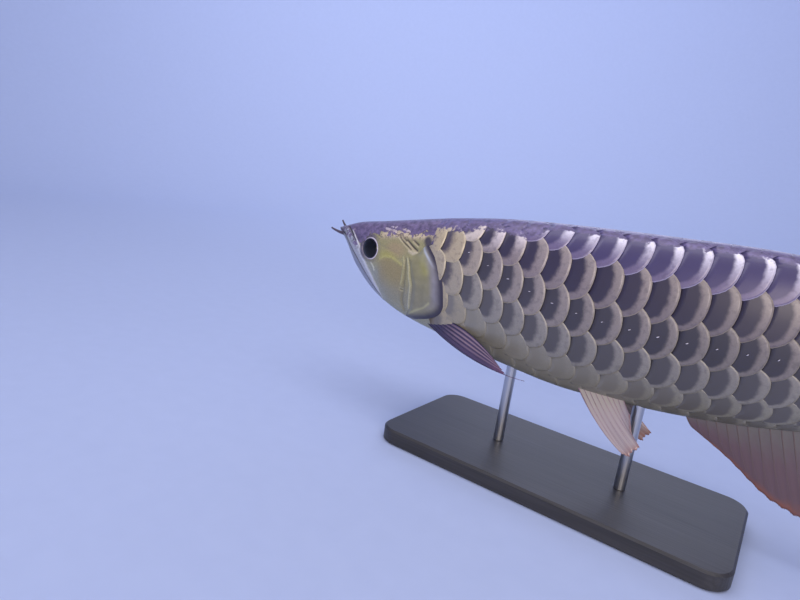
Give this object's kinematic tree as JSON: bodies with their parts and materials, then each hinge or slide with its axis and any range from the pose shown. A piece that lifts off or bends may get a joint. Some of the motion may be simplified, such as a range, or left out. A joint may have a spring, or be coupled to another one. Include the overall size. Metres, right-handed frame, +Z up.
{
  "type": "asian arowana fish model on a display stand",
  "caption": "Still life-size asian arowana swimming level, with big raised scales, upturned mouth and barbels, on a flat base with two rods.",
  "frame": {"origin": "centre of the bounding box on the surface that the stand rests on", "axes": "+X from the snout to the tail, +Y out of the fish's right flank, +Z up"},
  "size_m": [0.5942, 0.116, 0.2235],
  "materials": {
    "head_skin": "satin, gold-olive below a dark violet crown",
    "gill_skin": "glossy gold-olive",
    "scaled_skin": "glossy large scales, slate centres with pinkish-beige rims",
    "eye": "wet dark eye",
    "barbel": "dark violet-brown",
    "fin": "brownish-red fin membrane and rays",
    "pectoral": "dark violet fin with reddish gaps",
    "pelvic": "pale pinkish fin",
    "stand_base": "satin charcoal stain",
    "stand_rod": "brushed"
  },
  "bodies": {
    "root": {"head": "head_skin", "lower_jaw": "head_skin", "gill_cover_left": "gill_skin", "gill_cover_right": "gill_skin", "eye_left": "eye", "eye_right": "eye", "barbel_left": "barbel", "barbel_right": "barbel", "trunk_front": "scaled_skin", "trunk_middle": "scaled_skin", "tail": "scaled_skin", "dorsal_fin": "fin", "anal_fin": "fin", "caudal_fin": "fin", "pectoral_fin_left": "pectoral", "pectoral_fin_right": "pectoral", "pelvic_fin_left": "pelvic", "pelvic_fin_right": "pelvic", "stand_base": "stand_base", "stand_rod_front": "stand_rod", "stand_rod_rear": "stand_rod"}
  },
  "joints": []
}
